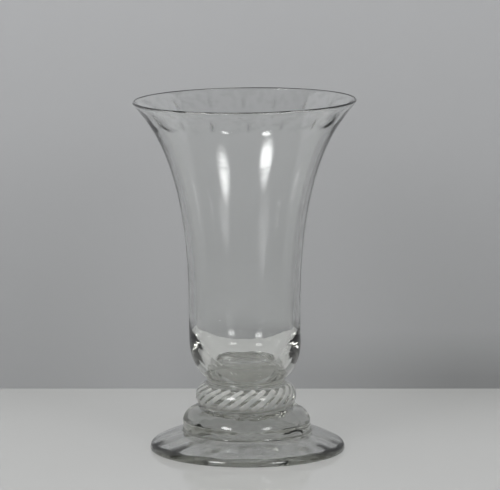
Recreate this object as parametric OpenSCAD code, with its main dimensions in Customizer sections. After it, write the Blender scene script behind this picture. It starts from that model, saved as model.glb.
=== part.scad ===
// Jelly glass: trumpet bowl, twisted knop, rounded step and domed foot.
// Millimetres, +Z up. The origin is on the axis of turning, level with what the foot rests on.

/* [Foot] */
// Diameter of the foot
foot_d = 60.4; // [52:0.2:72]
// Height of the foot up to the step
foot_h = 5.8; // [5.4:0.1:7.4]
// Radius of the small corner where the foot's edge meets the table
foot_corner_r = 0.3; // [0.1:0.05:0.45]
// Height of the foot's upright edge
foot_edge_t = 0.6; // [0.5:0.1:1.2]
// Width of the rounding above that edge, inwards
foot_round_w = 3; // [2:0.1:4]
// Height of that rounding
foot_round_h = 2.4; // [1.6:0.1:2.8]
// How far round it the foot goes before its top begins, in degrees
foot_round_turn = 60; // [50:1:75]
// How far the foot's top swells above a straight slope
foot_swell = 0.3; // [0.1:0.1:0.8]
// Width of the flat ring that the foot rests on
rest_ring_w = 1; // [0.6:0.1:6]
// Height of the hollow under the foot, at its middle
foot_hollow_h = 4.7; // [3:0.1:5]
// Shape of the hollow: 2 is a shallow dome, and more is flatter in the middle
hollow_shape = 2.8; // [1.6:0.1:5]

/* [Pontil scar] */
// Diameter of the scar under the foot
scar_d = 23; // [16:0.5:28]
// Thickness of the scar at its middle
scar_t = 1; // [0.6:0.1:1.4]
// Thickness of the scar at its edge
scar_edge_t = 0.4; // [0.2:0.05:0.6]

/* [Step] */
// Diameter of the step
step_d = 39.6; // [34:0.2:46]
// Height of the step, from the foot to the knop
step_h = 7.6; // [6:0.1:9.5]
// Height of the step's upright side
step_side_h = 3.3; // [2:0.1:4.4]
// How far the step's shoulder swells above a straight slope
step_swell = 1.2; // [0.6:0.1:1.8]

/* [Knop] */
// Largest diameter of the knop
knop_d = 31.2; // [29:0.2:35]
// Radius of the knop's rounded side
knop_side_r = 4.6; // [4:0.1:5.4]
// How far round that side the knop goes below its widest place, in degrees
knop_low_turn = 44; // [35:1:60]
// How far round that side the knop goes above its widest place, in degrees
knop_top_turn = 69; // [55:1:80]

/* [Twist threads] */
// Number of white threads in the knop
thread_n = 24; // [16:1:26]
// Diameter of a thread
thread_d = 1.4; // [1:0.05:1.6]
// Depth of a thread's centre line below the knop's surface
thread_depth = 0.5; // [0.35:0.05:0.6]
// Slope of a thread at the knop's widest place, in degrees
thread_slope = 36; // [30:1:50]
// Turn of the threads round the knop, in degrees
thread_start = 3; // [0:1:15]
// Length of a thread below the knop's widest place
thread_low_len = 3.6; // [2:0.2:4]
// Length of a thread above the knop's widest place
thread_top_len = 6.6; // [4:0.2:6.8]

/* [Neck ring] */
// Diameter of the ring where it meets the bowl
neck_d = 24; // [22:0.2:26]
// Height of the ring
neck_h = 1.5; // [1:0.1:2.5]
// How far the ring's side is drawn in
neck_draw = 0.25; // [0.1:0.05:0.5]

/* [Bowl] */
// Height of the bowl, from the neck ring to the rim
bowl_h = 86.7; // [76:0.1:96]
// Diameter of the rim
rim_d = 69.2; // [60:0.2:76]
// Diameter of the narrow lower part of the bowl
waist_d = 34.6; // [31:0.2:38]
// Height of the bowl's rounded base
base_h = 11.5; // [9:0.5:13]
// Width of the base's rounding, outwards
base_round_w = 9; // [7:0.5:11]
// Height on the bowl at which the wall starts to flare
flare_h = 22; // [18:1:26]
// How far up the wall stays close to the waist before it flares
flare_hold = 50; // [40:1:54]
// Lean of the wall at the rim, in degrees
rim_lean = 28; // [15:1:40]
// Length over which the rim takes that lean
rim_hold = 5; // [3:0.5:9]
// Thickness of the wall at the waist
wall_t = 2; // [1.2:0.1:2.4]
// Thickness of the wall at the rim
rim_t = 0.85; // [0.7:0.05:1.4]
// Slope of the rim's end face, which rises towards the inside, in degrees
lip_slope = 50; // [20:1:54]
// How far each corner of the rim is rounded off
lip_round = 0.14; // [0.05:0.01:0.25]
// Thickness of the bowl's floor, in the middle of the well
floor_t = 1.6; // [1:0.1:6]
// Height of the well's rounded bottom
well_round_h = 20; // [14:0.5:22]
// Shape of that rounding: 2 is an ellipse, and more is closer to a box
well_shape = 2.65; // [2:0.05:4]

/* [Cuts below the rim] */
// Number of cuts
cut_n = 18; // [12:1:24]
// Depth of a cut
cut_depth = 0.33; // [0.1:0.01:0.4]
// Diameter of the wheel that made the cuts
wheel_d = 20; // [14:1:26]
// Height of the cuts' middle below the rim
cut_drop = 5; // [4:0.5:9]

/* [Hidden] */
$fn = 96;
clear_glass = [0.82, 0.86, 0.86, 0.5];
white_glass = [0.93, 0.93, 0.91];

// Points on each curve of an outline
curve_n = 10;
flare_n = 22;
well_n = 14;
corner_n = 3;
scar_n = 4;

// Heights at which the pieces meet, from the table upwards
step_z = foot_h;
knop_z = step_z + step_h;
girth_z = knop_z + knop_side_r * sin(knop_low_turn);
neck_z = girth_z + knop_side_r * sin(knop_top_turn);
bowl_z = neck_z + neck_h;
rim_z = bowl_z + bowl_h;

// The foot's upright edge stands outside the ring that the foot rests on, and the hollow inside it
edge_x = foot_d / 2 - foot_corner_r;
hollow_r = edge_x - rest_ring_w;

// The knop's side is a circle whose centre runs round the axis
knop_ring_r = knop_d / 2 - knop_side_r;
knop_low_r = knop_ring_r + knop_side_r * cos(knop_low_turn);
knop_top_r = knop_ring_r + knop_side_r * cos(knop_top_turn);

// A thread bends as much as the knop's surface does along the thread's slope
thread_girth_r = knop_d / 2 - thread_depth;
thread_side_r = knop_side_r - thread_depth;
thread_bend = pow(cos(thread_slope), 2) / thread_girth_r + pow(sin(thread_slope), 2) / thread_side_r;
thread_bend_r = 1 / thread_bend;
thread_low_turn = thread_low_len / thread_bend_r * 180 / PI;
thread_top_turn = thread_top_len / thread_bend_r * 180 / PI;

// Levels inside the bowl
waist_r = waist_d / 2;
base_z = bowl_z + base_h;
flare_z = bowl_z + flare_h;
well_z = bowl_z + floor_t;
well_top_z = well_z + well_round_h;
well_r = waist_r - wall_t;

// The rim's end face runs from the outer wall up to the inner wall's lean
lip_len = rim_t / (cos(lip_slope) + sin(lip_slope) * tan(rim_lean));
lip_z = rim_z - lip_len * sin(lip_slope);

thread_names = [for (i = [1:thread_n]) str("twist_thread_", i < 10 ? "0" : "", i)];

// A point on the hollow under the foot, at a distance from the axis
function hollow_point(r) = [r, foot_hollow_h * (1 - pow(r / hollow_r, hollow_shape))];

// The part of the hollow that the scar covers, from the axis outwards
scar_seam = [for (i = [0:scar_n]) hollow_point(scar_d / 2 * i / scar_n)];

// Points of a circular arc from one point to another, which swells to the right of the way between them
function arc(from, to, swell) =
    let (
        way = to - from,
        reach = norm(way),
        aside = [way.y, -way.x] / reach,
        radius = (reach * reach / 4 + swell * swell) / (2 * swell),
        centre = (from + to) / 2 + aside * (swell - radius),
        half = asin(reach / 2 / radius)
    )
    [for (i = [0:curve_n])
        let (turn = half * (2 * i / curve_n - 1))
        centre + radius * (aside * cos(turn) + way / reach * sin(turn))];

// The points of a stretch without its first one, where the stretch before it ends there
function after_first(points) = [for (i = [1:len(points) - 1]) points[i]];

// Points of an ellipse about a centre, from one angle to another
function oval(centre, wide, high, from, to) =
    [for (i = [0:curve_n])
        let (turn = from + (to - from) * i / curve_n)
        centre + [wide * cos(turn), high * sin(turn)]];

// Points that round off a corner between two sides of an outline
function corner(before, at, after, cut) =
    let (
        from = at + cut * (before - at) / norm(before - at),
        to = at + cut * (after - at) / norm(after - at)
    )
    [for (i = [0:corner_n])
        let (share = i / corner_n, left = 1 - share)
        left * left * from + 2 * left * share * at + share * share * to];

// A point on the bowl's outer wall, at a share of the way from the waist to the rim
function flare(share) =
    let (
        low = [waist_r, flare_z],
        held = low + [0, flare_hold],
        top = [rim_d / 2, lip_z],
        led = top - rim_hold * [sin(rim_lean), cos(rim_lean)],
        left = 1 - share
    )
    pow(left, 3) * low + 3 * left * share * (left * held + share * led) + pow(share, 3) * top;

// A point on the bowl's inner wall, level with the outer one
function inner_flare(share) = flare(share) - [wall_t + (rim_t - wall_t) * share, 0];

// The share of the way up the flare at which the wall is a given height, by halving
function share_at(z, low = 0, high = 1, steps = 20) =
    let (middle = (low + high) / 2)
    steps == 0 ? middle
        : flare(middle).y < z ? share_at(z, middle, high, steps - 1)
        : share_at(z, low, middle, steps - 1);

// A point on the well's rounded bottom, at a turn from its side to the axis
function well_point(turn) =
    [well_r * pow(cos(turn), 2 / well_shape), well_top_z - well_round_h * pow(sin(turn), 2 / well_shape)];

// The bowl as blown: rounded base, straight waist, flared wall, rim and well
module bowl_blank() {
    outer_lip = flare(1);
    inner_lip = outer_lip + lip_len * [-cos(lip_slope), sin(lip_slope)];
    base_start = acos((neck_d / 2 - waist_r + base_round_w) / base_round_w);
    base_oval_h = base_h / sin(base_start);
    rotate_extrude()
        polygon(concat(
            [[0, bowl_z]],
            oval([waist_r - base_round_w, base_z], base_round_w, base_oval_h, -base_start, 0),
            [for (i = [0:flare_n - 1]) flare(i / flare_n)],
            corner(flare(1 - 1 / flare_n), outer_lip, inner_lip, lip_round),
            corner(outer_lip, inner_lip, inner_flare(1), lip_round),
            [for (i = [flare_n:-1:0]) if (flare(i / flare_n).y > well_top_z) inner_flare(i / flare_n)],
            [for (i = [0:well_n]) well_point(90 * i / well_n)]
        ));
}

// One grinding wheel in the place where it has cut the outer wall to its full depth
module cutting_wheel() {
    share = share_at(rim_z - cut_drop);
    step = 0.01;
    along = flare(share + step) - flare(share - step);
    outwards = [along.y, -along.x] / norm(along);
    centre = flare(share) + outwards * (wheel_d / 2 - cut_depth);
    wheel_w = 2 * PI * flare(share).x / cut_n;
    translate([centre.x, 0, centre.y])
        rotate([90, 0, 0])
            cylinder(d = wheel_d, h = wheel_w, center = true);
}

module bowl() {
    color(clear_glass)
        difference() {
            bowl_blank();
            for (i = [1:cut_n])
                rotate([0, 0, 360 * i / cut_n])
                    cutting_wheel();
        }
}

module neck_ring() {
    color(clear_glass)
        rotate_extrude()
            polygon(concat(
                [[0, neck_z]],
                arc([knop_top_r, neck_z], [neck_d / 2, bowl_z], -neck_draw),
                [[0, bowl_z]]
            ));
}

// The knop without its threads
module knop_blank() {
    rotate_extrude()
        intersection() {
            union() {
                translate([knop_ring_r, girth_z])
                    circle(r = knop_side_r);
                translate([0, knop_z])
                    square([knop_ring_r, neck_z - knop_z]);
            }
            translate([0, knop_z])
                square([knop_d, neck_z - knop_z]);
        }
}

// One whole thread: a bent rod that lies along the knop's surface
module thread_rod(number) {
    rotate([0, 0, thread_start + 360 * number / thread_n])
        translate([thread_girth_r - thread_bend_r, 0, girth_z])
            rotate([thread_slope, 0, 0])
                rotate([0, 0, -thread_low_turn])
                    rotate_extrude(angle = thread_low_turn + thread_top_turn)
                        translate([thread_bend_r, 0])
                            circle(d = thread_d);
}

// A thread lies flush with the knop's surface
module twist_thread(number) {
    color(white_glass)
        intersection() {
            thread_rod(number);
            knop_blank();
        }
}

module knop() {
    color(clear_glass)
        difference() {
            knop_blank();
            for (i = [1:thread_n])
                thread_rod(i);
        }
}

module foot_step() {
    side_top = [step_d / 2, step_z + step_side_h];
    color(clear_glass)
        rotate_extrude()
            polygon(concat(
                [[0, step_z], [step_d / 2, step_z]],
                arc(side_top, [knop_low_r, knop_z], step_swell),
                [[0, knop_z]]
            ));
}

module foot() {
    corner_at = [edge_x, foot_corner_r];
    round_at = [foot_d / 2 - foot_round_w, foot_edge_t];
    round_end = round_at + [foot_round_w * cos(foot_round_turn), foot_round_h * sin(foot_round_turn)];
    color(clear_glass)
        rotate_extrude()
            polygon(concat(
                scar_seam,
                [for (i = [1:curve_n]) hollow_point(scar_d / 2 + (hollow_r - scar_d / 2) * i / curve_n)],
                oval(corner_at, foot_corner_r, foot_corner_r, -90, 0),
                oval(round_at, foot_round_w, foot_round_h, 0, foot_round_turn),
                after_first(arc(round_end, [step_d / 2, foot_h], foot_swell)),
                [[0, foot_h]]
            ));
}

// The scar is a lens of glass in the middle of the hollow
module pontil_scar() {
    edge = hollow_point(scar_d / 2) - [0, scar_edge_t];
    middle = [0, foot_hollow_h - scar_t];
    color(clear_glass)
        rotate_extrude()
            polygon(concat(
                scar_seam,
                [edge, middle]
            ));
}

bowl();
neck_ring();
knop();
foot_step();
foot();
pontil_scar();
for (i = [1:thread_n])
    twist_thread(i);
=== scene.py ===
"""A small hand-made jelly glass on a pale table: clear glass pieces round a white twist."""
import math
import random

import bpy
import numpy as np
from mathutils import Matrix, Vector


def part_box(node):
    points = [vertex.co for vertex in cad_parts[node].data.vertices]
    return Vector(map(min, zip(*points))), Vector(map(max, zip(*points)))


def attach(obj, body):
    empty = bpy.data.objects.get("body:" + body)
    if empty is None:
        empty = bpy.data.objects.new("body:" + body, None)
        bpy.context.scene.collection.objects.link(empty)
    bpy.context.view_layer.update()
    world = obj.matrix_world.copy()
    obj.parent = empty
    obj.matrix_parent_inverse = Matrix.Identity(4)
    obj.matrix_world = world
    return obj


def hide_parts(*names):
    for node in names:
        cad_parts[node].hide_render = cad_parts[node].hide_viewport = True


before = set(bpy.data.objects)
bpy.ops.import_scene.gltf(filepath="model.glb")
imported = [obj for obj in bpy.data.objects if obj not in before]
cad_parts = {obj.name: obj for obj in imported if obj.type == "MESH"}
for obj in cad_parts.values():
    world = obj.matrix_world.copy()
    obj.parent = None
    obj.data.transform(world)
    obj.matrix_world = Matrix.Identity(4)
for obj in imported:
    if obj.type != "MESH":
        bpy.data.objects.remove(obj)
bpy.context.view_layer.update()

MM = 0.001
TURN = 2 * math.pi

# Pieces that are fused stand this far apart, so that no two faces share a plane
hair = 0.004 * MM


def half_width(node):
    """Half of a node's width along X."""
    low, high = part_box(node)
    return (high.x - low.x) / 2


def bottom_of(node):
    """Height of a node's lowest point."""
    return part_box(node)[0].z


def top_of(node):
    """Height of a node's highest point."""
    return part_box(node)[1].z


# Levels at which the pieces meet, and their widest radii, from the frame
step_z = bottom_of("foot_step")
knop_z = bottom_of("knop")
neck_z = bottom_of("neck_ring")
bowl_z = bottom_of("bowl")
rim_z = top_of("bowl")
hollow_h = top_of("pontil_scar")
foot_r = half_width("foot")
step_r = half_width("foot_step")
knop_r = half_width("knop")
knop_top_r = half_width("neck_ring")
rim_r = half_width("bowl")
scar_r = half_width("pontil_scar")

# Foot and scar
foot_corner_r = 0.3 * MM
foot_edge_t = 0.6 * MM
foot_round_w = 3.0 * MM
foot_round_h = 2.4 * MM
foot_round_turn = math.radians(60)
foot_swell = 0.3 * MM
rest_ring_w = 1.0 * MM
hollow_shape = 2.8
scar_t = hollow_h - bottom_of("pontil_scar")
scar_edge_t = 0.4 * MM
scar_swell = 0.1 * MM

# Step
step_side_h = 3.3 * MM
step_swell = 1.2 * MM
step_fillet = 0.7 * MM
step_fillet_w = step_fillet * 0.6
step_fillet_draw = 0.12 * MM

# Knop and its threads
knop_side_r = 4.6 * MM
knop_low_turn = math.radians(44)
thread_names = sorted(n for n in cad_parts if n.startswith("twist_thread_"))
thread_w = 1.45 * MM
thread_t = 0.5 * MM
thread_depth = 0.4 * MM
thread_slope = math.radians(36)
thread_start = math.radians(3)
thread_low_len = 3.8 * MM
thread_top_len = 7.2 * MM
thread_sway_deg = 1.2
thread_w_range = (0.88, 1.1)
thread_len_range = (0.9, 1.05)

# Neck ring and bowl
neck_r = 12 * MM
neck_draw = 0.25 * MM
waist_r = 17.3 * MM
base_h = 11.5 * MM
base_round_w = 9 * MM
flare_h = 22 * MM
flare_hold = 50 * MM
rim_lean = math.radians(28)
rim_hold = 5 * MM
wall_t = 2.0 * MM
rim_t = 0.85 * MM
thinning = 1.5
lip_slope = math.radians(45)
lip_round = 0.35 * MM
lip_uneven = 0.06 * MM
floor_t = 1.6 * MM
well_round_h = 18.4 * MM
well_shape = 2.65
well_gap = 0.2 * MM

# Cuts below the rim, and the dull strokes on the ridges between them
cut_n = 18
cut_start = math.radians(2)
cut_sway_deg = 1.5
cut_depth = 0.17 * MM
cut_depth_range = (0.7, 1.25)
cut_drop = 4.6 * MM
cut_h = 7.0 * MM
cut_arch = 2.0 * MM
cut_foot_sway_mm = 0.7
cut_fade = 1.4 * MM
stroke_h = 5.2 * MM
stroke_w = 0.55 * MM
stroke_low_range = (0.4, 0.6)
stroke_strength = (0.5, 1)

# Hand-made lean: how far the axis strays sideways at the foot and at the bowl, and how far the rim tips
foot_stray = 0.45 * MM
bowl_stray = -0.5 * MM
rim_tip = math.radians(0.75)

# Dents in the skins: their depth, and the shortest and longest swell from one to the next
wave_n = 14
foot_dent = 0.012 * MM
foot_swells = (6 * MM, 14 * MM)
step_dent = 0.05 * MM
step_swells = (3 * MM, 9 * MM)
knop_dent = 0.03 * MM
knop_swells = (3 * MM, 8 * MM)
scar_dent = 0.04 * MM
scar_swells = (1.5 * MM, 4 * MM)
well_dent = 0.009 * MM
well_swells = (2 * MM, 5 * MM)

# Rows at each end of a skin over which its dents fade away
well_fade = 16
knop_fade = 8
step_fade = 8
hollow_fade = 4
foot_fade = 6
scar_fade = 2

# The foot's dents are this many times deeper on its underside
hollow_dent = 2.5

# How dull worn or ground glass is at most: 0 is polished and 1 is fully matt
# On the foot's underside the worn patches also get the dark tint of dull glass: painted shade where the
# foot sits over the table.
under_wear_and_shade = 0.3
under_wear_and_shade_mean = 0.55
under_wear_and_shade_swing = 0.5
under_wear_and_shade_swells = (1.5 * MM, 8 * MM)
band_haze = 0.2
band_haze_swells = (1.5 * MM, 5 * MM)
lip_dull = 0.4
lip_dull_mean = 0.7
lip_dull_swing = 0.3
lip_dull_waves = (6, 24)

# Seeds of the random draws
cut_seed = 3
stroke_seed = 4
lip_seed = 5
band_haze_seed = 6
twist_seed = 7
lip_dull_seed = 8
under_wear_and_shade_seed = 9
knop_seed = 21
step_seed = 22
foot_seed = 23
scar_seed = 24
well_seed = 26

# Points along each stretch of the outlines
seam_n = 4
base_n = 26
waist_n = 8
flare_n = 112
flare_fine_n = 2000
lip_n = 6
well_n = 48
neck_n = 10
knop_n = 40
fillet_n = 8
step_side_n = 6
shoulder_n = 30
under_scar_n = 5
hollow_n = 24
foot_corner_n = 8
foot_edge_n = 20
foot_top_n = 36
scar_n = 16
scar_top_n = 6

# Places round the axis
cut_sectors = 18
bowl_sectors = cut_sectors * cut_n
neck_sectors = 240
lathe_sectors = 360
scar_sectors = 120

# Points along a thread's middle, round its ends and round its girth
thread_spine_n = 32
thread_cap_n = 7
thread_ring_n = 20

# Edges that turn by more than this stay sharp
crease = math.radians(32)


def smooth_step(low, high, value):
    """0 below low, 1 above high, and an even S-curve between them."""
    share = np.clip((value - low) / (high - low), 0, 1)
    return share * share * (3 - 2 * share)


def line_points(start, end, count):
    """Evenly spaced points on a straight line, both ends included."""
    shares = np.linspace(0, 1, count)[:, None]
    return np.array(start) * (1 - shares) + np.array(end) * shares


def arc_points(start, end, swell, count):
    """Points of a circular arc that swells to the right of the way from start to end."""
    start = np.array(start)
    way = np.array(end) - start
    reach = np.linalg.norm(way)
    along = way / reach
    aside = np.array([along[1], -along[0]])
    radius = (reach * reach / 4 + swell * swell) / (2 * swell)
    centre = start + way / 2 + aside * (swell - radius)
    half = math.asin(reach / 2 / radius)
    turns = np.linspace(-half, half, count)[:, None]
    return centre + radius * (aside * np.cos(turns) + along * np.sin(turns))


def oval_points(centre, wide, high, start, end, count):
    """Points of an ellipse from one angle to another."""
    turns = np.linspace(start, end, count)
    return np.array(centre) + np.column_stack([wide * np.cos(turns), high * np.sin(turns)])


def uneven(turns, seed, low=2, high=9):
    """A smooth random wave once round the axis, between about -1 and 1."""
    chance = random.Random(seed)
    wave = np.zeros_like(turns)
    for count in range(low, high + 1):
        wave += chance.uniform(0.4, 1) * np.sin(count * turns + chance.uniform(0, TURN))
    return wave / math.sqrt(high - low + 1)


def hand_waves(radius, height, turns, seed, shortest, longest):
    """Seeded swells that run through space in all directions, such as tools leave on hot glass."""
    x = radius * np.cos(turns)
    y = radius * np.sin(turns)
    chance = random.Random(seed)
    total = np.zeros_like(x)
    for _ in range(wave_n):
        heading = np.array([chance.gauss(0, 1) for _ in range(3)])
        heading *= TURN / chance.uniform(shortest, longest) / np.linalg.norm(heading)
        total += np.sin(heading[0] * x + heading[1] * y + heading[2] * height + chance.uniform(0, TURN))
    return total / math.sqrt(wave_n / 2)


def fade_in(count, rows):
    """Weights for the rows of a free surface: 1 in the middle, and 0 at both ends."""
    row = np.arange(count)
    return np.clip(np.minimum(row, row[::-1]) / rows, 0, 1)


def dented(weights, depth, seed, shortest, longest):
    """A relief that swells and dents a turned piece along its normal, by each row's weight."""

    def relief(radius, height, turns):
        along_r = np.gradient(radius, axis=0)
        along_z = np.gradient(height, axis=0)
        waves = hand_waves(radius, height, turns, seed, shortest, longest)
        swell = depth * weights[1:-1, None] * waves / np.hypot(along_r, along_z)
        return radius + swell * along_z, height - swell * along_r

    return relief


def settle(points):
    """Moves points as the hot glass moved under the maker's tools: the axis strays and the rim tips."""
    x, y, z = points[:, 0], points[:, 1], points[:, 2]
    knop_middle = (knop_z + neck_z) / 2
    low_stray = foot_stray * (1 - smooth_step(0, knop_middle, z))
    high_stray = bowl_stray * smooth_step(knop_middle, bowl_z + flare_h, z)
    tip = math.tan(rim_tip) * smooth_step(bowl_z + flare_h, rim_z, z)
    return np.column_stack([x + low_stray + high_stray, y, z + tip * x])


def new_piece(name, points, faces, material):
    """A mesh object in the scene, with one material."""
    mesh = bpy.data.meshes.new(name)
    mesh.from_pydata(points, [], faces)
    mesh.materials.append(material)
    piece = bpy.data.objects.new(name, mesh)
    bpy.context.collection.objects.link(piece)
    return piece


def seam_steps(outline, below, above):
    """The steps of an outline that lie against the pieces below and above."""
    rows = len(outline) - 1
    return list(range(len(below) - 1)) + list(range(rows - len(above), rows))


def lathe_faces(rings, sectors):
    """Faces of a turned solid, ring by ring from its low pole to its high one."""
    here = list(range(sectors))
    after = here[1:] + here[:1]
    low_pole = rings * sectors
    high_pole = low_pole + 1
    last = low_pole - sectors
    faces = [(low_pole, b, a) for a, b in zip(here, after)]
    for ring in range(rings - 1):
        low = ring * sectors
        high = low + sectors
        faces += [(low + a, low + b, high + b, high + a) for a, b in zip(here, after)]
    faces += [(last + a, last + b, high_pole) for a, b in zip(here, after)]
    return faces


def lathe(name, outline, seam_rows, sectors, lift, relief=None, matt=None):
    """A closed solid turned from an outline that runs from the axis below, round it, to the axis above.

    seam_rows are the steps of the outline whose faces lie against the next piece. relief moves the skin,
    and matt tells how dull each place is.
    """
    outline = np.array(outline)
    rings = outline[1:-1]
    turns = np.arange(sectors) * TURN / sectors
    radius = np.repeat(rings[:, :1], sectors, axis=1)
    height = np.repeat(rings[:, 1:], sectors, axis=1)
    if relief is not None:
        radius, height = relief(radius, height, turns)
    points = np.column_stack([
        (radius * np.cos(turns)).ravel(),
        (radius * np.sin(turns)).ravel(),
        height.ravel(),
    ])
    points = settle(np.vstack([points, [0, 0, outline[0, 1]], [0, 0, outline[-1, 1]]]))
    points[:, 2] += lift
    faces = lathe_faces(len(rings), sectors)
    steps = np.arange(len(faces)) // sectors
    piece = new_piece(name, points.tolist(), faces, materials["clear"])
    mesh = piece.data
    on_seam = np.isin(steps, list(seam_rows))
    mesh.attributes.new("seam", "FLOAT", "FACE").data.foreach_set("value", on_seam.astype(np.float32))
    if matt is not None:
        dull = np.append(matt(radius, height, turns).ravel(), [0, 0])
        mesh.attributes.new("dull", "FLOAT", "POINT").data.foreach_set("value", dull.astype(np.float32))
    mesh.shade_smooth()
    mesh.set_sharp_from_angle(angle=crease)
    return piece


def take_place(piece, node):
    """Sets a piece in the place of its CAD node."""
    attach(piece, "root")
    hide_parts(node)


# Materials


def new_material(name):
    """A material with an empty node tree."""
    material = bpy.data.materials.new(name)
    material.use_nodes = True
    material.node_tree.nodes.clear()
    return material


def add_node(tree, kind, **values):
    """A shader node, with its input sockets set by name."""
    node = tree.nodes.new(kind)
    for key, value in values.items():
        node.inputs[key.replace("_", " ")].default_value = value
    return node


def clear_glass():
    """Clear glass, slightly wavy and smudged, grey where it is thick, and dull and darker where it is
    ground or worn. On the foot's underside that darkening is painted shade.

    Lamps shine through it, and light goes straight on at the seams where two pieces melted together.
    """
    material = new_material("clear_glass")
    tree = material.node_tree
    link = tree.links.new
    place = add_node(tree, "ShaderNodeTexCoord")
    smudge = add_node(tree, "ShaderNodeTexNoise", Scale=160.0, Detail=5.0, Roughness=0.6)
    gloss = add_node(tree, "ShaderNodeMapRange", From_Min=0.45, From_Max=0.8, To_Min=0.0, To_Max=0.05)
    wave = add_node(tree, "ShaderNodeTexNoise", Scale=70.0, Detail=2.0, Roughness=0.4)
    bump = add_node(tree, "ShaderNodeBump", Strength=0.25, Distance=0.00012)
    glass = add_node(tree, "ShaderNodeBsdfPrincipled", IOR=1.53)
    glass.inputs["Transmission Weight"].default_value = 1.0
    link(place.outputs["Object"], smudge.inputs["Vector"])
    link(place.outputs["Object"], wave.inputs["Vector"])
    link(smudge.outputs["Fac"], gloss.inputs["Value"])
    dull = add_node(tree, "ShaderNodeAttribute")
    dull.attribute_name = "dull"
    matt_roughness = 0.4
    polished = (0.985, 0.99, 0.987, 1)
    # Tint of dull glass, darker than polished: real ground and worn marks, and on the foot's underside
    # painted shade.
    ground_and_shade = (0.42, 0.42, 0.41, 1)
    rough = add_node(tree, "ShaderNodeMath")
    rough.operation = "MULTIPLY_ADD"
    rough.inputs[1].default_value = matt_roughness
    tint = add_node(tree, "ShaderNodeMix")
    tint.data_type = "RGBA"
    tint.inputs["A"].default_value = polished
    tint.inputs["B"].default_value = ground_and_shade
    link(dull.outputs["Fac"], rough.inputs[0])
    link(gloss.outputs["Result"], rough.inputs[2])
    link(rough.outputs["Value"], glass.inputs["Roughness"])
    link(dull.outputs["Fac"], tint.inputs["Factor"])
    link(tint.outputs["Result"], glass.inputs["Base Color"])
    link(wave.outputs["Fac"], bump.inputs["Height"])
    link(bump.outputs["Normal"], glass.inputs["Normal"])

    seam = add_node(tree, "ShaderNodeAttribute")
    seam.attribute_name = "seam"
    shade = add_node(tree, "ShaderNodeMapRange", To_Min=0.88, To_Max=1.0)
    through = add_node(tree, "ShaderNodeBsdfTransparent")
    link(seam.outputs["Fac"], shade.inputs["Value"])
    link(shade.outputs["Result"], through.inputs["Color"])

    rays = add_node(tree, "ShaderNodeLightPath")
    lit = add_node(tree, "ShaderNodeMath")
    lit.operation = "MAXIMUM"
    either = add_node(tree, "ShaderNodeMath")
    either.operation = "MAXIMUM"
    mix = add_node(tree, "ShaderNodeMixShader")
    body = add_node(tree, "ShaderNodeVolumeAbsorption", Color=(0.902, 0.904, 0.89, 1), Density=100.0)
    out = add_node(tree, "ShaderNodeOutputMaterial")
    link(rays.outputs["Is Shadow Ray"], lit.inputs[0])
    link(rays.outputs["Is Diffuse Ray"], lit.inputs[1])
    link(lit.outputs["Value"], either.inputs[0])
    link(seam.outputs["Fac"], either.inputs[1])
    link(either.outputs["Value"], mix.inputs["Fac"])
    link(glass.outputs["BSDF"], mix.inputs[1])
    link(through.outputs["BSDF"], mix.inputs[2])
    link(mix.outputs["Shader"], out.inputs["Surface"])
    link(body.outputs["Volume"], out.inputs["Volume"])
    return material


def white_glass():
    """Milky opaque white glass, a little uneven along its length."""
    material = new_material("white_glass")
    tree = material.node_tree
    link = tree.links.new
    place = add_node(tree, "ShaderNodeTexCoord")
    cloud = add_node(tree, "ShaderNodeTexNoise", Scale=420.0, Detail=3.0)
    tone = add_node(tree, "ShaderNodeValToRGB")
    tone.color_ramp.elements[0].position = 0.3
    tone.color_ramp.elements[0].color = (0.43, 0.44, 0.43, 1)
    tone.color_ramp.elements[1].position = 0.65
    tone.color_ramp.elements[1].color = (0.6, 0.6, 0.58, 1)
    body = add_node(tree, "ShaderNodeBsdfPrincipled", Roughness=0.45)
    body.inputs["Specular IOR Level"].default_value = 0.1
    out = add_node(tree, "ShaderNodeOutputMaterial")
    link(place.outputs["Object"], cloud.inputs["Vector"])
    link(cloud.outputs["Fac"], tone.inputs["Fac"])
    link(tone.outputs["Color"], body.inputs["Base Color"])
    link(body.outputs["BSDF"], out.inputs["Surface"])
    return material


materials = {"clear": clear_glass(), "white": white_glass()}

# Bowl

lip_len = rim_t / (math.cos(lip_slope) + math.sin(lip_slope) * math.tan(rim_lean))
lip_z = rim_z - lip_len * math.sin(lip_slope)
base_z = bowl_z + base_h
flare_z = bowl_z + flare_h
well_z = bowl_z + floor_t
well_top_z = well_z + well_round_h
well_r = waist_r - wall_t
cut_middle_z = rim_z - cut_drop


def flare(share):
    """Points on the bowl's outer wall, at shares of the way from the waist to the rim."""
    share = np.atleast_1d(share)[:, None]
    low = np.array([waist_r, flare_z])
    held = low + [0, flare_hold]
    top = np.array([rim_r, lip_z])
    led = top - rim_hold * np.array([math.sin(rim_lean), math.cos(rim_lean)])
    left = 1 - share
    return left**3 * low + 3 * left**2 * share * held + 3 * left * share**2 * led + share**3 * top


def inner_flare(share):
    """Points on the bowl's inner wall, level with the outer ones: the wall is thickest at the waist."""
    share = np.atleast_1d(share)
    walls = flare(share)
    walls[:, 0] -= rim_t + (wall_t - rim_t) * (1 - share)**thinning
    return walls


def well_points(count):
    """Points from the well's side to its bottom on the axis: a corner boxier than an ellipse."""
    turns = np.linspace(0, math.pi / 2, count)
    r = well_r * np.abs(np.cos(turns))**(2 / well_shape)
    z = well_top_z - well_round_h * np.sin(turns)**(2 / well_shape)
    r[-1] = 0
    return np.column_stack([r, z])


def even_shares(count):
    """Shares of the flare that lie evenly along its length."""
    fine = np.linspace(0, 1, flare_fine_n)
    steps = np.linalg.norm(np.diff(flare(fine), axis=0), axis=1)
    length = np.concatenate([[0], np.cumsum(steps)])
    return np.interp(np.linspace(0, length[-1], count), length, fine)


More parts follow.
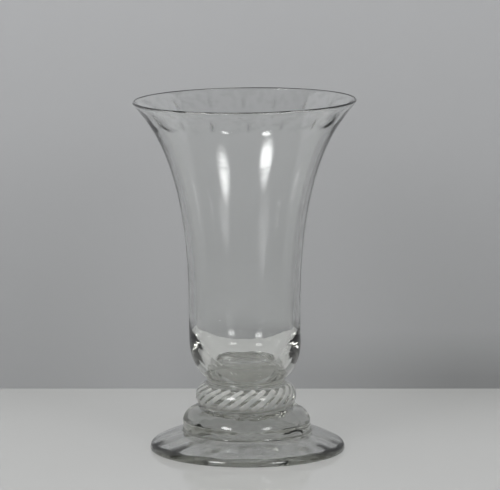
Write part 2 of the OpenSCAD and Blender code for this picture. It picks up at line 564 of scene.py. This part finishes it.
def cut_ridges(chance):
    """Places of the ridges between the cuts, round the axis, with the first one repeated at the end."""
    pitch = TURN / cut_n
    ridges = [
        (i - 0.5) * pitch + cut_start + math.radians(chance.uniform(-cut_sway_deg, cut_sway_deg))
        for i in range(cut_n)
    ]
    return ridges + [ridges[0] + TURN]


def ridge_strokes(radius, height, turns):
    """How dull the outside is: a stroke on each ridge between the cuts, and a patchy haze round them."""
    waves = hand_waves(radius, height, turns, band_haze_seed, *band_haze_swells)
    dull = band_haze * np.clip(waves, 0, 1) * smooth_step(cut_middle_z - cut_h / 2, cut_middle_z, height)
    chance = random.Random(stroke_seed)
    for ridge in cut_ridges(random.Random(cut_seed)):
        aside = radius * np.abs((turns - ridge + math.pi) % TURN - math.pi)
        low = cut_middle_z - stroke_h * chance.uniform(*stroke_low_range)
        rise = smooth_step(low, low + stroke_h / 3, height)
        fall = 1 - smooth_step(low + stroke_h / 2, low + stroke_h, height)
        stroke = rise * fall * np.exp(-(aside / stroke_w)**2)
        dull = np.maximum(dull, chance.uniform(*stroke_strength) * stroke)
    return dull


def cut_relief(radius, height, turns):
    """The row of shallow cuts below the rim: hollow facets with arched feet, no two quite alike."""
    chance = random.Random(cut_seed)
    ridges = cut_ridges(chance)
    depths = [cut_depth * chance.uniform(*cut_depth_range) for _ in range(cut_n)]
    feet = [MM * chance.uniform(-cut_foot_sway_mm, cut_foot_sway_mm) for _ in range(cut_n)]
    ahead = (turns - ridges[0]) % TURN + ridges[0]
    cut = np.searchsorted(ridges, ahead, side="right") - 1
    start = np.array(ridges)[cut]
    end = np.array(ridges)[cut + 1]
    aside = (2 * ahead - start - end) / (end - start)
    hollow = np.array(depths)[cut] * (1 - aside**2)
    foot_z = cut_middle_z - cut_h / 2 + np.array(feet)[cut] + cut_arch * aside**2
    head_z = cut_middle_z + cut_h / 2 - cut_arch * aside**2 / 2
    rise = smooth_step(foot_z, foot_z + cut_fade, height)
    fall = 1 - smooth_step(head_z - cut_fade, head_z, height)
    return radius - hollow * (rise * fall)


def corner_points(before, at, after, cut, count):
    """Points that round off a corner between two sides of an outline."""
    before, at, after = np.array(before), np.array(at), np.array(after)
    start = at + cut * (before - at) / np.linalg.norm(before - at)
    end = at + cut * (after - at) / np.linalg.norm(after - at)
    share = np.linspace(0, 1, count)[:, None]
    left = 1 - share
    return left**2 * start + 2 * left * share * at + share**2 * end


def build_bowl():
    """The bowl: a rounded base, a flared wall with its cuts, a lip and a deep well."""
    base_start = math.acos((neck_r - waist_r + base_round_w) / base_round_w)
    base_oval_h = base_h / math.sin(base_start)
    base_centre = (waist_r - base_round_w, base_z)
    shares = even_shares(flare_n)
    inside = inner_flare(shares[::-2])
    inside = inside[inside[:, 1] > well_top_z + well_gap]
    outer_lip = flare(1)[0]
    inner_lip = outer_lip + lip_len * np.array([-math.cos(lip_slope), math.sin(lip_slope)])
    seam = line_points((0, bowl_z), (neck_r, bowl_z), seam_n)
    outside = np.vstack([
        oval_points(base_centre, base_round_w, base_oval_h, -base_start, 0, base_n)[1:],
        line_points((waist_r, base_z), (waist_r, flare_z), waist_n)[1:-1],
        flare(shares)[:-1],
    ])
    outer_edge = corner_points(outside[-1], outer_lip, inner_lip, lip_round, lip_n)
    inner_edge = corner_points(outer_lip, inner_lip, inside[0], lip_round, lip_n)
    well = well_points(well_n)
    outline = np.vstack([seam, outside, outer_edge, inner_edge, inside, well])
    edge_from = len(seam) + len(outside) - 1
    edge_to = edge_from + len(outer_edge)
    weights = np.concatenate([np.zeros(len(outline) - len(well)), fade_in(len(well), well_fade)])
    well_skin = dented(weights, well_dent, well_seed, *well_swells)

    def relief(radius, height, turns):
        radius[:edge_from] = cut_relief(radius[:edge_from], height[:edge_from], turns)
        height[edge_from:edge_to] += lip_uneven * uneven(turns, lip_seed)
        return well_skin(radius, height, turns)

    def matt(radius, height, turns):
        row = np.arange(len(radius))[:, None]
        lip = (row >= edge_from) & (row < edge_to + len(inner_edge))
        wave = uneven(turns, lip_dull_seed, *lip_dull_waves)
        lip_wear = lip_dull * np.clip(lip_dull_mean + lip_dull_swing * wave, 0, 1)
        return np.where(row < edge_from, ridge_strokes(radius, height, turns), lip * lip_wear)

    piece = lathe("bowl", outline, range(len(seam) - 1), bowl_sectors, 3 * hair, relief, matt)
    take_place(piece, "bowl")


def build_neck_ring():
    """The clear ring between the knop and the bowl, drawn in a little at its side."""
    below = line_points((0, neck_z), (knop_top_r, neck_z), seam_n)
    side = arc_points((knop_top_r, neck_z), (neck_r, bowl_z), -neck_draw, neck_n)[1:]
    above = line_points((neck_r, bowl_z), (0, bowl_z), seam_n)[1:]
    outline = np.vstack([below, side, above])
    seams = seam_steps(outline, below, above)
    take_place(lathe("neck_ring", outline, seams, neck_sectors, 2 * hair), "neck_ring")


knop_ring_r = knop_r - knop_side_r
girth_z = knop_z + knop_side_r * math.sin(knop_low_turn)
knop_low_r = knop_ring_r + knop_side_r * math.cos(knop_low_turn)


def build_knop():
    """The clear knop that holds the twist: a ring with a round side."""
    top_turn = math.asin((neck_z - girth_z) / knop_side_r)
    girth = (knop_ring_r, girth_z)
    below = line_points((0, knop_z), (knop_low_r, knop_z), seam_n)
    side = oval_points(girth, knop_side_r, knop_side_r, -knop_low_turn, top_turn, knop_n)
    above = line_points((knop_top_r, neck_z), (0, neck_z), seam_n)[1:]
    outline = np.vstack([below[:-1], side, above])
    seams = seam_steps(outline, below, above)
    weights = np.concatenate([
        np.zeros(len(below) - 1), fade_in(len(side), knop_fade), np.zeros(len(above)),
    ])
    skin = dented(weights, knop_dent, knop_seed, *knop_swells)
    take_place(lathe("knop", outline, seams, lathe_sectors, hair, skin), "knop")


thread_girth_r = knop_r - thread_depth
thread_side_r = knop_side_r - thread_depth
thread_bend = math.cos(thread_slope)**2 / thread_girth_r + math.sin(thread_slope)**2 / thread_side_r
thread_bend_r = 1 / thread_bend


def thread_path(along):
    """Points on a thread's middle line, at lengths from the knop's girth."""
    turn = along / thread_bend_r
    across = thread_bend_r * np.sin(turn)
    return np.column_stack([
        thread_girth_r - thread_bend_r * (1 - np.cos(turn)),
        across * math.cos(thread_slope),
        girth_z + across * math.sin(thread_slope),
    ])


def thread_sides(along):
    """Unit vectors across a thread and out of the knop, at lengths along its middle line."""
    step = 0.01 * MM
    spine = thread_path(along)
    heading = thread_path(along + step) - thread_path(along - step)
    heading /= np.linalg.norm(heading, axis=1)[:, None]
    ring_centre = spine.copy()
    reach = np.linalg.norm(spine[:, :2], axis=1)
    ring_centre[:, :2] *= (knop_ring_r / reach)[:, None]
    ring_centre[:, 2] = girth_z
    outward = spine - ring_centre
    outward /= np.linalg.norm(outward, axis=1)[:, None]
    return np.cross(heading, outward), outward


def rod_faces(rings, sectors):
    """Faces of a closed rod, whose two tips come after its rings of points."""
    low_tip = rings * sectors
    high_tip = low_tip + 1
    last = low_tip - sectors
    faces = []
    for j in range(sectors):
        k = (j + 1) % sectors
        faces.append((low_tip, k, j))
        faces.append((last + j, last + k, high_tip))
        for ring in range(rings - 1):
            a = ring * sectors
            b = a + sectors
            faces.append((a + j, a + k, b + k, b + j))
    return faces


def build_thread(name, number, chance):
    """One white cane: a flattened rod with round ends, bent along the knop just under its surface."""
    sway = math.radians(chance.uniform(-thread_sway_deg, thread_sway_deg))
    place = thread_start + TURN * number / len(thread_names) + sway
    end_w = thread_w * chance.uniform(*thread_w_range) / 2
    low_len = thread_low_len * chance.uniform(*thread_len_range)
    top_len = thread_top_len * chance.uniform(*thread_len_range)
    straight = (low_len + top_len) / 2 - end_w
    middle = np.linspace(-straight, straight, thread_spine_n)
    cap = np.linspace(0, math.pi / 2, thread_cap_n)[1:-1]
    low_cap = -straight - end_w * np.sin(cap[::-1])
    along = np.concatenate([low_cap, middle, -low_cap[::-1]]) + (top_len - low_len) / 2
    size = np.concatenate([np.cos(cap[::-1]), np.ones(len(middle)), np.cos(cap)])
    turns = np.arange(thread_ring_n) * TURN / thread_ring_n
    wide = end_w * np.sign(np.cos(turns)) * np.sqrt(np.abs(np.cos(turns)))
    thick = thread_t / 2 * np.sign(np.sin(turns)) * np.sqrt(np.abs(np.sin(turns)))
    spine = thread_path(along)
    across, outward = thread_sides(along)
    points = [
        spine[i] + size[i] * (across[i] * wide[j] + outward[i] * thick[j])
        for i in range(len(along)) for j in range(thread_ring_n)
    ]
    tip = end_w * (1 - math.sin(cap[-1]))
    tips = thread_path(np.array([along[0] - tip, along[-1] + tip]))
    x, y, z = np.vstack([points, tips]).T
    points = np.column_stack([
        x * math.cos(place) - y * math.sin(place),
        x * math.sin(place) + y * math.cos(place),
        z,
    ])
    faces = rod_faces(len(along), thread_ring_n)
    piece = new_piece(name, settle(points).tolist(), faces, materials["white"])
    piece.data.shade_smooth()
    take_place(piece, name)


def build_twist():
    """All the white canes, side by side round the knop."""
    chance = random.Random(twist_seed)
    for number, name in enumerate(thread_names, start=1):
        build_thread(name, number, chance)


def build_foot_step():
    """The rounded step on the foot, with a small fillet where it melted onto it."""
    foot_of_side = (step_r + step_fillet_w, step_z)
    top_of_fillet = (step_r, step_z + step_fillet)
    top_of_side = (step_r, step_z + step_side_h)
    below = line_points((0, step_z), foot_of_side, seam_n)
    fillet = arc_points(foot_of_side, top_of_fillet, -step_fillet_draw, fillet_n)[1:]
    side = line_points(fillet[-1], top_of_side, step_side_n)[1:]
    shoulder = arc_points(top_of_side, (knop_low_r, knop_z), step_swell, shoulder_n)[1:]
    above = line_points((knop_low_r, knop_z), (0, knop_z), seam_n)[1:]
    outline = np.vstack([below, fillet, side, shoulder, above])
    seams = seam_steps(outline, below, above)
    free = len(fillet) + len(side) + len(shoulder)
    weights = np.concatenate([np.zeros(len(below)), fade_in(free, step_fade), np.zeros(len(above))])
    skin = dented(weights, step_dent, step_seed, *step_swells)
    take_place(lathe("foot_step", outline, seams, lathe_sectors, 0, skin), "foot_step")


edge_x = foot_r - foot_corner_r
hollow_r = edge_x - rest_ring_w


def hollow_points(start_r, end_r, count):
    """Points on the shallow hollow under the foot."""
    turns = np.linspace(math.asin(start_r / hollow_r), math.asin(end_r / hollow_r), count)
    r = hollow_r * np.sin(turns)
    return np.column_stack([r, hollow_h * (1 - (r / hollow_r)**hollow_shape)])


def build_foot():
    """The domed foot: a hollow underside, the ring that it rests on and a rounded edge."""
    corner_at = (edge_x, foot_corner_r)
    round_at = (foot_r - foot_round_w, foot_edge_t)
    under_scar = hollow_points(0, scar_r, under_scar_n)
    hollow = hollow_points(scar_r, hollow_r, hollow_n)[1:]
    rest = line_points((hollow_r, 0), (edge_x, 0), seam_n)[1:]
    corner = oval_points(corner_at, foot_corner_r, foot_corner_r, -math.pi / 2, 0, foot_corner_n)[1:]
    edge = oval_points(round_at, foot_round_w, foot_round_h, 0, foot_round_turn, foot_edge_n)
    top = arc_points(edge[-1], (step_r + step_fillet_w, step_z), foot_swell, foot_top_n)[1:]
    above = line_points(top[-1], (0, step_z), seam_n)[1:]
    outline = np.vstack([under_scar, hollow, rest, corner, edge, top, above])
    seams = seam_steps(outline, under_scar, above)
    weights = np.concatenate([
        np.zeros(len(under_scar)),
        hollow_dent * fade_in(len(hollow), hollow_fade),
        np.zeros(len(rest) + len(corner) + len(edge)),
        fade_in(len(top), foot_fade),
        np.zeros(len(above)),
    ])
    skin = dented(weights, foot_dent, foot_seed, *foot_swells)

    def wear_and_shade(radius, height, turns):
        """The underside is rubbed dull in patches, and the same patches darken it with painted shade."""
        under = np.arange(len(radius))[:, None] < len(under_scar) + len(hollow) + len(rest) - 1
        waves = hand_waves(radius, height, turns, under_wear_and_shade_seed, *under_wear_and_shade_swells)
        return under * under_wear_and_shade * np.clip(under_wear_and_shade_mean + under_wear_and_shade_swing * waves, 0, 1)

    take_place(lathe("foot", outline, seams, lathe_sectors, -hair, skin, wear_and_shade), "foot")


def build_pontil_scar():
    """The rough disc under the foot where the maker's rod broke off."""
    above = hollow_points(scar_r, 0, scar_top_n)
    edge = above[0] - [0, scar_edge_t]
    below = arc_points((0, hollow_h - scar_t), edge, scar_swell, scar_n)
    below[0, 0] = 0
    outline = np.vstack([below, above])
    rows = len(outline) - 1
    weights = np.concatenate([fade_in(len(below), scar_fade), np.zeros(len(above))])
    skin = dented(weights, scar_dent, scar_seed, *scar_swells)
    seams = range(rows - len(above) + 1, rows)
    piece = lathe("pontil_scar", outline, seams, scar_sectors, -2 * hair, skin)
    take_place(piece, "pontil_scar")


build_bowl()
build_neck_ring()
build_knop()
build_twist()
build_foot_step()
build_foot()
build_pontil_scar()

# Stage: a pale table and a grey wall close behind the glass

wall_y = 97 * MM


def table_surface():
    """A smooth pale table top, faintly mottled, with painted shade that makes it a little darker towards
    the wall.
    """
    material = new_material("pale_table")
    tree = material.node_tree
    link = tree.links.new
    place = add_node(tree, "ShaderNodeTexCoord")
    mottle = add_node(tree, "ShaderNodeTexNoise", Scale=9.0, Detail=4.0)
    split = add_node(tree, "ShaderNodeSeparateXYZ")
    # Painted shade: the table top darkens towards the wall.
    painted_wall_shade = add_node(tree, "ShaderNodeMapRange", From_Min=-0.02, From_Max=0.1, To_Min=0.5, To_Max=-0.5)
    level = add_node(tree, "ShaderNodeMath")
    level.use_clamp = True
    tone = add_node(tree, "ShaderNodeValToRGB")
    tone.color_ramp.elements[0].color = (0.512, 0.515, 0.504, 1)
    tone.color_ramp.elements[1].color = (0.52, 0.522, 0.513, 1)
    body = add_node(tree, "ShaderNodeBsdfPrincipled", Roughness=0.05)
    out = add_node(tree, "ShaderNodeOutputMaterial")
    link(place.outputs["Object"], mottle.inputs["Vector"])
    link(place.outputs["Object"], split.inputs["Vector"])
    link(split.outputs["Y"], painted_wall_shade.inputs["Value"])
    link(mottle.outputs["Fac"], level.inputs[0])
    link(painted_wall_shade.outputs["Result"], level.inputs[1])
    link(level.outputs["Value"], tone.inputs["Fac"])
    link(tone.outputs["Color"], body.inputs["Base Color"])
    link(body.outputs["BSDF"], out.inputs["Surface"])
    return material


def wall_surface():
    """Grey paper, darker towards the table, with a painted shadow low down on its right side. It can be
    seen through from behind.
    """
    material = new_material("grey_wall")
    tree = material.node_tree
    link = tree.links.new
    place = add_node(tree, "ShaderNodeTexCoord")
    split = add_node(tree, "ShaderNodeSeparateXYZ")
    rise = add_node(tree, "ShaderNodeMapRange", From_Min=0.0, From_Max=0.14, To_Min=0.6, To_Max=1.0)
    # Painted shadow: the paper darkens low down towards the right, next to the table.
    aside = add_node(tree, "ShaderNodeMapRange", From_Min=-0.03, From_Max=0.07, To_Min=0.0, To_Max=0.45)
    level = add_node(tree, "ShaderNodeMapRange", From_Min=0.004, From_Max=0.02, To_Min=1.0, To_Max=0.15)
    shadow = add_node(tree, "ShaderNodeMath")
    shadow.operation = "MULTIPLY"
    shaded = add_node(tree, "ShaderNodeMath")
    shaded.operation = "SUBTRACT"
    shaded.use_clamp = True
    tone = add_node(tree, "ShaderNodeValToRGB")
    tone.color_ramp.elements[0].color = (0.266, 0.271, 0.272, 1)
    tone.color_ramp.elements[1].color = (0.52, 0.526, 0.538, 1)
    paper = add_node(tree, "ShaderNodeBsdfDiffuse")
    through = add_node(tree, "ShaderNodeBsdfTransparent")
    side = add_node(tree, "ShaderNodeNewGeometry")
    mix = add_node(tree, "ShaderNodeMixShader")
    out = add_node(tree, "ShaderNodeOutputMaterial")
    link(place.outputs["Object"], split.inputs["Vector"])
    link(split.outputs["Z"], rise.inputs["Value"])
    link(split.outputs["X"], aside.inputs["Value"])
    link(split.outputs["Z"], level.inputs["Value"])
    link(aside.outputs["Result"], shadow.inputs[0])
    link(level.outputs["Result"], shadow.inputs[1])
    link(rise.outputs["Result"], shaded.inputs[0])
    link(shadow.outputs["Value"], shaded.inputs[1])
    link(shaded.outputs["Value"], tone.inputs["Fac"])
    link(tone.outputs["Color"], paper.inputs["Color"])
    link(side.outputs["Backfacing"], mix.inputs["Fac"])
    link(paper.outputs["BSDF"], mix.inputs[1])
    link(through.outputs["BSDF"], mix.inputs[2])
    link(mix.outputs["Shader"], out.inputs["Surface"])
    return material


def sheet(name, corners, material):
    """One flat face of the stage."""
    flat = new_piece(name, corners, [(0, 1, 2, 3)], material)


table_half = 3.0
wall_half = 0.5
wall_h = 0.4
table_z = -0.05 * MM
table_corners = [
    (-table_half, -table_half, table_z),
    (table_half, -table_half, table_z),
    (table_half, table_half, table_z),
    (-table_half, table_half, table_z),
]
wall_corners = [
    (-wall_half, wall_y, table_z),
    (wall_half, wall_y, table_z),
    (wall_half, wall_y, wall_h),
    (-wall_half, wall_y, wall_h),
]
sheet("table", table_corners, table_surface())
sheet("wall", wall_corners, wall_surface())

# Light: a soft lamp on each side in front, and a wide faint one overhead


def fade_edges(data):
    """Makes a lamp brightest in the middle and dark at its edge, like a lit umbrella."""
    data.use_nodes = True
    tree = data.node_tree
    link = tree.links.new
    place = add_node(tree, "ShaderNodeNewGeometry")
    lamp_middle = (0.5, 0.5, 0)
    in_plane = (1, 1, 0)
    away = tree.nodes.new("ShaderNodeVectorMath")
    away.operation = "DISTANCE"
    away.inputs[1].default_value = lamp_middle
    flat = tree.nodes.new("ShaderNodeVectorMath")
    flat.operation = "MULTIPLY"
    flat.inputs[1].default_value = in_plane
    glow = add_node(tree, "ShaderNodeMapRange", From_Min=0.5, From_Max=0.15, To_Min=0.0, To_Max=1.0)
    glow.interpolation_type = "SMOOTHSTEP"
    link(place.outputs["Parametric"], flat.inputs[0])
    link(flat.outputs["Vector"], away.inputs[0])
    link(away.outputs["Value"], glow.inputs["Value"])
    link(glow.outputs["Result"], tree.nodes["Emission"].inputs["Strength"])


def soft_lamp(name, azimuth, elevation, distance, width, height, power):
    """A soft lamp that faces the glass. Azimuth 0 is in front of it and positive to the right."""
    data = bpy.data.lights.new(name, "AREA")
    data.shape = "ELLIPSE"
    data.size = width
    data.size_y = height
    data.energy = power
    lamp = bpy.data.objects.new(name, data)
    turn, rise = math.radians(azimuth), math.radians(elevation)
    lamp.location = (
        distance * math.sin(turn) * math.cos(rise),
        -distance * math.cos(turn) * math.cos(rise),
        distance * math.sin(rise) + rim_z / 2,
    )
    lamp.rotation_euler = (math.pi / 2 - rise, 0, turn)
    bpy.context.collection.objects.link(lamp)
    return lamp


side_lamps = {"distance": 1.2, "width": 0.56, "height": 0.54}
left_lamp = soft_lamp("left_lamp", azimuth=-39, elevation=26.5, power=9.6, **side_lamps)
right_lamp = soft_lamp("right_lamp", azimuth=38, elevation=22, power=6.6, **side_lamps)
fade_edges(left_lamp.data)
fade_edges(right_lamp.data)
fill_lamp = soft_lamp(
    "fill_lamp", azimuth=0, elevation=80, distance=0.95, width=0.9, height=0.9, power=8.85,
)
fill_lamp.visible_glossy = False
fill_lamp.visible_transmission = False

world = bpy.data.worlds.new("studio")
world.use_nodes = True
world.node_tree.nodes["Background"].inputs["Color"].default_value = (0.012, 0.012, 0.012, 1)
bpy.context.scene.world = world

# Camera at the photograph's place

camera_back = 1150 * MM
camera_up = 240.4 * MM
camera_aside = 1.2 * MM
camera_down = math.radians(8.732)
sensor_w = 36.0
frame_px = 500
focal_px = 3768.2

camera_data = bpy.data.cameras.new("camera")
camera_data.sensor_fit = "HORIZONTAL"
camera_data.sensor_width = sensor_w
camera_data.lens = focal_px * sensor_w / frame_px
camera = bpy.data.objects.new("camera", camera_data)
camera.location = (camera_aside, -camera_back, camera_up)
camera.rotation_euler = (math.pi / 2 - camera_down, 0, 0)
bpy.context.collection.objects.link(camera)
scene = bpy.context.scene
scene.camera = camera
scene.view_settings.view_transform = "Standard"
scene.cycles.max_bounces = 24
scene.cycles.transmission_bounces = 24
scene.cycles.glossy_bounces = 12
scene.cycles.transparent_max_bounces = 32
